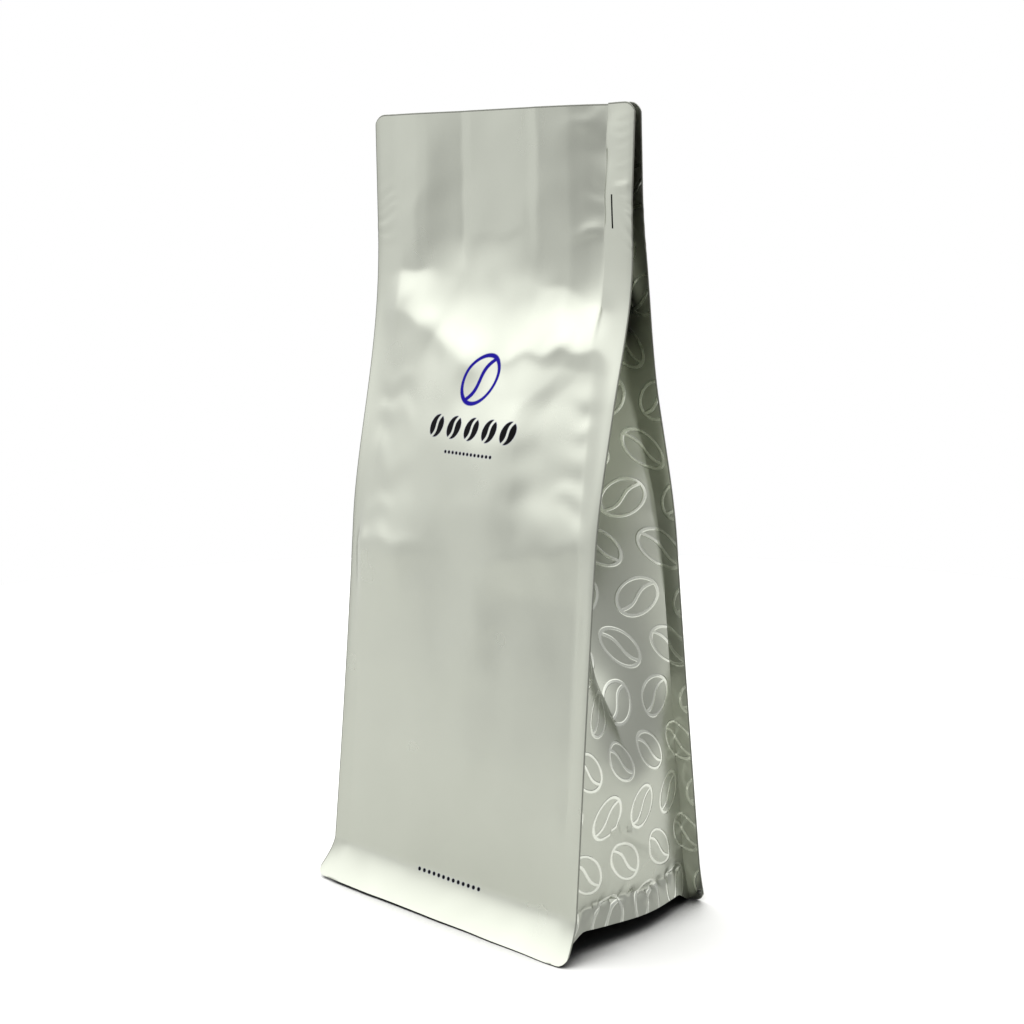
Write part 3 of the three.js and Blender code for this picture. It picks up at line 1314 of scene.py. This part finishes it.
@dataclass(frozen=True)
class Studio:
    """Pale floor, soft light and the camera. Sizes are in millimetres, angles in degrees."""

    # Camera, at the photograph's angle.
    azimuth: float = 42.44
    elevation: float = 9.95
    roll: float = -0.26
    distance: float = 508.0
    aim: tuple[float, float, float] = (1.59, 0.0, 116.95)
    lens: float = 61.08
    sensor: float = 36.0
    clip: tuple[float, float] = (10.0, 50000.0)
    # Floor: what is seen of it, what the foil mirrors of it, darkened as painted shade, and the painted
    # shadow under the bag.
    floor_radius: float = 520.0
    floor_sides: int = 96
    paper: str = "#e4e4e2"
    paper_roughness: float = 0.7
    # Painted shade: the floor as the foil mirrors it, darker than the even paper that is seen.
    mirrored_shade_left: str = "#cacac8"
    mirrored_shade_right: str = "#dadad8"
    mirrored_shade_far: str = "#9a9a98"
    far_shade_starts: tuple[float, float] = (250.0, 340.0)
    right_shade_starts: tuple[float, float] = (0.0, 80.0)
    front_shade_starts: tuple[float, float] = (50.0, -50.0)
    # Painted shadow: the paper's colour goes to near black close to the bag.
    painted_contact_shadow: str = "#08080c"
    painted_contact_shadow_reach: float = 20.0
    painted_contact_shadow_range: tuple[float, float] = (0.3, 0.85)
    painted_contact_shadow_samples: int = 8
    # Light from a window side, a dome, the ceiling and a lamp.
    window_way: tuple[float, float, float] = (-0.966, 0.259, 0.0)
    window_edge: tuple[float, float] = (-0.02, 0.46)
    window_glow: tuple[float, float] = (0.58, 1.04)
    dome_way: tuple[float, float, float] = (-0.68, -0.70, 0.2)
    dome_starts: tuple[float, float] = (0.12, 0.36)
    dome_glow: float = 1.05
    ceiling_starts: tuple[float, float] = (0.42, 0.7)
    ceiling_glow: float = 1.15
    lamp_at: tuple[float, float, float] = (-350.0, -300.0, 950.0)
    lamp_aim: tuple[float, float, float] = (0.0, 0.0, 100.0)
    lamp_size: float = 600.0
    lamp_watts: float = 0.4

    def build(self) -> None:
        """Sets up the floor, the light and the camera."""
        self.floor()
        self.light()
        self.camera()

    def floor(self) -> None:
        """Adds the floor."""
        bpy.ops.object.select_all(action="DESELECT")
        bpy.ops.mesh.primitive_circle_add(
            vertices=self.floor_sides, radius=self.floor_radius * MM, fill_type="NGON"
        )
        floor = bpy.context.object
        floor.name = "floor"
        floor.data.materials.append(self.paper_with_painted_shade())

    def paper_with_painted_shade(self) -> bpy.types.Material:
        """Makes white background paper: dull and even, with a painted shadow, nearly black, where the bag
        stands on it.

        What the foil mirrors of it is painted a little darker than what is seen, and darkest far off in front
        on the right: painted shade, as in a room that is lit from the left.

        Returns:
            The material.
        """
        material = bpy.data.materials.new("white_seamless_paper")
        board = NodeBoard(material)
        place = board.add("TexCoord").node.outputs["Object"]
        parts = board.add("SeparateXYZ", place).node.outputs
        # Painted shade far off in front on the right, in the floor's colour for what the foil mirrors.
        away = board.add("VectorMath", place, operation="LENGTH")
        far_low, far_high = (value * MM for value in self.far_shade_starts)
        far = board.add("MapRange", away, far_low, far_high, 0.0, 1.0, interpolation_type="SMOOTHSTEP")
        right = board.add("MapRange", parts["X"], *(value * MM for value in self.right_shade_starts), 0.0, 1.0)
        front = board.add("MapRange", parts["Y"], *(value * MM for value in self.front_shade_starts), 0.0, 1.0)
        ahead = board.add("Math", right, front, operation="MULTIPLY")
        shaded = board.add("Math", ahead, far, operation="MULTIPLY")
        sides = linear(self.mirrored_shade_left), linear(self.mirrored_shade_right)
        close = board.add("Mix", right, *sides, data_type="RGBA")
        ground = board.add("Mix", shaded, close, linear(self.mirrored_shade_far), data_type="RGBA")
        # The camera sees the even paper; every other ray meets the painted shade.
        seen = board.add("LightPath").node.outputs["Is Camera Ray"]
        paper = board.add("Mix", seen, ground, linear(self.paper), data_type="RGBA")
        # Painted contact shadow: where the bag is near, the paper's colour is mixed towards near black.
        reach = self.painted_contact_shadow_reach * MM
        nearby = board.add("AmbientOcclusion", Distance=reach, samples=self.painted_contact_shadow_samples)
        clear = nearby.node.outputs["AO"]
        lit = board.add("MapRange", clear, *self.painted_contact_shadow_range, 0.0, 1.0, interpolation_type="SMOOTHSTEP")
        tone = board.add("Mix", lit, linear(self.painted_contact_shadow), paper, data_type="RGBA")
        shader = board.add("BsdfPrincipled", Base_Color=tone, Roughness=self.paper_roughness)
        board.add("OutputMaterial", shader)
        return material

    def light(self) -> None:
        """Sets up a soft room, bright on the left and above, and a soft lamp over the bag."""
        world = bpy.data.worlds.new("soft_studio")
        bpy.context.scene.world = world
        board = NodeBoard(world)
        way = board.add("TexCoord").node.outputs["Generated"]
        height = board.add("SeparateXYZ", way).node.outputs["Z"]
        left = board.add("VectorMath", way, self.window_way, operation="DOT_PRODUCT")
        window = board.add("MapRange", left, *self.window_edge, *self.window_glow)
        over = board.add("MapRange", height, *self.dome_starts, 0.0, 1.0, interpolation_type="SMOOTHSTEP")
        side = board.add("VectorMath", way, self.dome_way, operation="DOT_PRODUCT")
        dome = board.add("MapRange", side, 0.0, 1.0, 0.0, self.dome_glow)
        ceiling = board.add(
            "MapRange", height, *self.ceiling_starts, 0.0, self.ceiling_glow, interpolation_type="SMOOTHSTEP"
        )
        above = board.add("Math", over, dome, ceiling, operation="MULTIPLY_ADD")
        strength = board.add("Math", above, window, operation="ADD")
        seen = board.add("LightPath").node.outputs["Is Camera Ray"]
        shown = board.add("Mix", seen, strength, 1.0)
        board.add("OutputWorld", board.add("Background", (1.0, 1.0, 1.0, 1.0), shown))
        bpy.ops.object.light_add(type="AREA", location=Vector(self.lamp_at) * MM)
        lamp = bpy.context.object
        lamp.name = "softbox"
        lamp.data.shape = "SQUARE"
        lamp.data.size = self.lamp_size * MM
        lamp.data.energy = self.lamp_watts
        beam = Vector(self.lamp_aim) - Vector(self.lamp_at)
        lamp.rotation_euler = beam.to_track_quat("-Z", "Y").to_euler()

    def camera(self) -> None:
        """Adds the camera and turns it to the bag."""
        turn, lift = math.radians(self.azimuth), math.radians(self.elevation)
        back = Vector((math.sin(turn) * math.cos(lift), -math.cos(turn) * math.cos(lift), math.sin(lift)))
        right = Vector((math.cos(turn), math.sin(turn), 0.0))
        up = back.cross(right)
        roll = math.radians(self.roll)
        across = right * math.cos(roll) + up * math.sin(roll)
        above = up * math.cos(roll) - right * math.sin(roll)
        place = (Vector(self.aim) + back * self.distance) * MM
        bpy.ops.object.camera_add()
        camera = bpy.context.object
        axes = Matrix((across, above, back)).transposed()
        camera.matrix_world = Matrix.Translation(place) @ axes.to_4x4()
        camera.data.lens = self.lens
        camera.data.sensor_width = self.sensor
        camera.data.clip_start, camera.data.clip_end = (value * MM for value in self.clip)
        scene = bpy.context.scene
        scene.camera = camera
        scene.view_settings.view_transform = "Standard"


FRONT_RELIEF: Relief = (
    Waves(26.0, 0.1),
    # Shoulder: swellings below the header's seal, and hollows that part them from it.
    Push(-34.0, 178.5, 8.0, 6.0, 0.7, turn=-15.0),
    Push(-28.0, 168.0, 16.0, 26.0, 0.7),
    Push(-3.0, 187.0, 19.0, 9.0, 0.65),
    Crease((-44.0, 187.0), (-26.0, 186.5), 4.0, 4.0, -0.3),
    Crease((14.0, 184.0), (44.0, 176.5), 4.0, 5.0, -0.3),
    # Ridges that fall from both sides of the shoulder towards its middle.
    Crease((-46.0, 175.0), (-24.0, 171.5), 7.0, 8.0, 1.1, drift=0.5),
    Crease((-28.0, 172.5), (-2.0, 159.5), 12.0, 10.0, 1.9, drift=0.5),
    Crease((6.0, 161.0), (28.0, 168.0), 9.0, 3.0, 0.7),
    Crease((24.0, 168.0), (44.0, 164.0), 14.0, 4.0, 0.8),
    # Dent below the right of the shoulder, with puckers along the seal.
    Crease((20.0, 161.0), (48.0, 158.5), 9.0, 54.0, -1.2, drift=0.5),
    Crease((29.9, 165.5), (9.9, 143.0), 8.0, 26.0, 0.75, drift=0.5),
    Crease((35.0, 160.5), (15.0, 138.0), 34.0, 8.0, -0.7, drift=0.5),
    Crease((15.0, 146.0), (18.0, 116.0), 6.0, 22.0, 0.9, drift=0.5),
    Gathers((38.0, 120.0), (38.0, 160.0), 9.0, 5.0, 0.11, phase=-3.5, drift=0.9),
    # Lower rim of the dent, and the slack under it.
    Crease((8.0, 105.5), (48.0, 117.0), 13.0, 9.0, 1.5, drift=0.5),
    Crease((14.0, 98.0), (52.0, 95.0), 11.0, 30.0, -0.8, drift=0.5),
    Push(30.0, 122.0, 16.0, 13.0, -0.8),
    # Fold at the left of mid-height, with puckers above it.
    Crease((-54.0, 103.5), (-18.0, 108.0), 9.0, 18.0, 3.1, fade=0.4, drift=0.5),
    Gathers((-35.0, 114.0), (-35.0, 162.0), 13.0, 8.0, 0.15, drift=1.3),
    Push(-12.0, 110.0, 4.0, 3.0, -0.15),
    # Full lower part: a hollow and a line along the right seal, and the root of the skirt.
    Push(44.0, 82.0, 12.0, 30.0, -0.45),
    Crease((43.4, 38.0), (43.8, 78.0), 0.8, 0.8, -0.12, drift=0.3),
    Crease((-48.0, 12.0), (48.0, 12.0), 8.0, 5.0, -0.4, fade=0.05, drift=0.3),
)

BACK_RELIEF: Relief = (
    Waves(28.0, 0.08, start=2.0),
    # Ridges across the shoulder.
    Crease((-40.0, 168.0), (6.0, 161.0), 6.0, 8.0, 0.9),
    Crease((2.0, 160.0), (40.0, 172.0), 6.0, 6.0, 0.8),
    # Soft swellings and folds at mid-height, with puckers along both seals.
    Push(-20.0, 128.0, 16.0, 9.0, 0.6, turn=20.0),
    Crease((-46.0, 112.0), (-8.0, 118.0), 9.0, 5.0, 0.7),
    Gathers((40.0, 115.0), (40.0, 158.0), 10.0, 4.5, 0.16, drift=1.5),
    Gathers((-40.0, 120.0), (-40.0, 160.0), 9.0, 4.0, 0.14, drift=1.5),
    Push(26.0, 96.0, 12.0, 9.0, -0.4, turn=-20.0),
    # Root of the skirt.
    Crease((-48.0, 12.0), (48.0, 12.0), 8.0, 5.0, -0.4, fade=0.05, drift=0.3),
)

HEADER_RELIEF: Relief = (
    # Left part, over the layers of the folded gusset.
    Profile(
        ((-50.0, 0.0), (-41.0, -0.2), (-32.0, 0.6), (-28.0, 0.55), (-14.5, -0.7), (-12.8, -0.05), (0.0, 0.0)),
        (186.0, 197.0),
    ),
    # Right part, bent back.
    Profile(
        ((0.0, 0.0), (12.0, 0.1), (25.0, -0.8), (31.0, -1.9), (37.0, -2.6), (43.0, -1.7), (50.0, -1.2)),
        (152.0, 182.0),
    ),
    # Edge of the folded gusset, and the strip beyond it that stands forward.
    Profile(
        (
            *((0.0, 0.0), (11.5, 0.0), (13.5, 0.6), (24.0, 0.0), (30.0, -0.4)),
            *((35.0, -1.2), (37.0, -1.4), (38.6, 1.6), (50.0, 1.2)),
        ),
        (184.0, 208.0),
    ),
    Push(38.0, 232.0, 4.0, 11.0, -1.2),
    # Small folds along the seal, at the top and over the left layers.
    Crease((-10.0, 197.6), (12.0, 198.0), 8.0, 0.7, 0.25, fade=0.12),
    Push(31.0, 198.0, 6.0, 2.2, 0.45),
    Push(30.0, 227.0, 7.0, 2.4, 0.35),
    Crease((-38.0, 191.0), (-26.0, 218.0), 4.0, 7.0, 0.25),
    # Crumples beside the strip, on it and at the left edge.
    Gathers((34.0, 205.0), (34.0, 229.0), 8.0, 4.0, 0.16, drift=1.2),
    Gathers((44.8, 195.0), (44.8, 208.0), 3.4, 2.4, 0.2, drift=1.6),
    Gathers((-45.0, 194.0), (-45.0, 212.0), 4.2, 3.0, 0.09, drift=1.5),
    Crease((42.2, 208.8), (49.0, 210.4), 1.0, 1.2, 0.3, fade=0.2),
    Gathers((46.0, 213.0), (46.0, 229.0), 2.6, 3.0, 0.06, drift=1.0),
)

GUSSET_RELIEF: Relief = (
    Waves(22.0, 0.12, start=4.0),
    # Seal over the foot, with its gathers.
    Crease((-30.0, 12.6), (30.0, 10.4), 0.9, 1.1, -0.8, fade=0.05, drift=0.3),
    Gathers((-28.0, 12.0), (26.0, 10.0), 4.4, 1.8, 0.55, drift=1.0),
    # Tuck that runs down to the foot.
    Crease((-4.0, 31.0), (28.0, 10.5), 4.0, 1.6, 1.0, fade=0.12, drift=0.5),
    Crease((-5.0, 31.0), (-10.0, 12.0), 1.6, 3.0, -0.5, drift=0.6),
    Gathers((-10.0, 31.5), (2.0, 32.5), 3.0, 2.4, 0.45, drift=0.6),
    # Pinch where the fold closes.
    Crease((2.0, 140.0), (14.0, 146.0), 2.5, 4.5, 0.5, drift=0.3),
)


def main() -> None:
    """Builds the bag and the studio, and reports each piece."""
    logging.basicConfig(level=logging.INFO, format="%(name)s: %(message)s")
    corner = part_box("bag")[1]
    form = BagForm(height=corner[2] / MM, foot_half_width=corner[0] / MM, foot_half_depth=corner[1] / MM)
    bag = FoilBag(form, FRONT_RELIEF, BACK_RELIEF, HEADER_RELIEF, GUSSET_RELIEF).build()
    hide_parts("bag")
    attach(bag, "root")
    LOG.info("%s: %d faces", bag.name, len(bag.data.polygons))
    Studio().build()


if __name__ == "__main__":
    main()
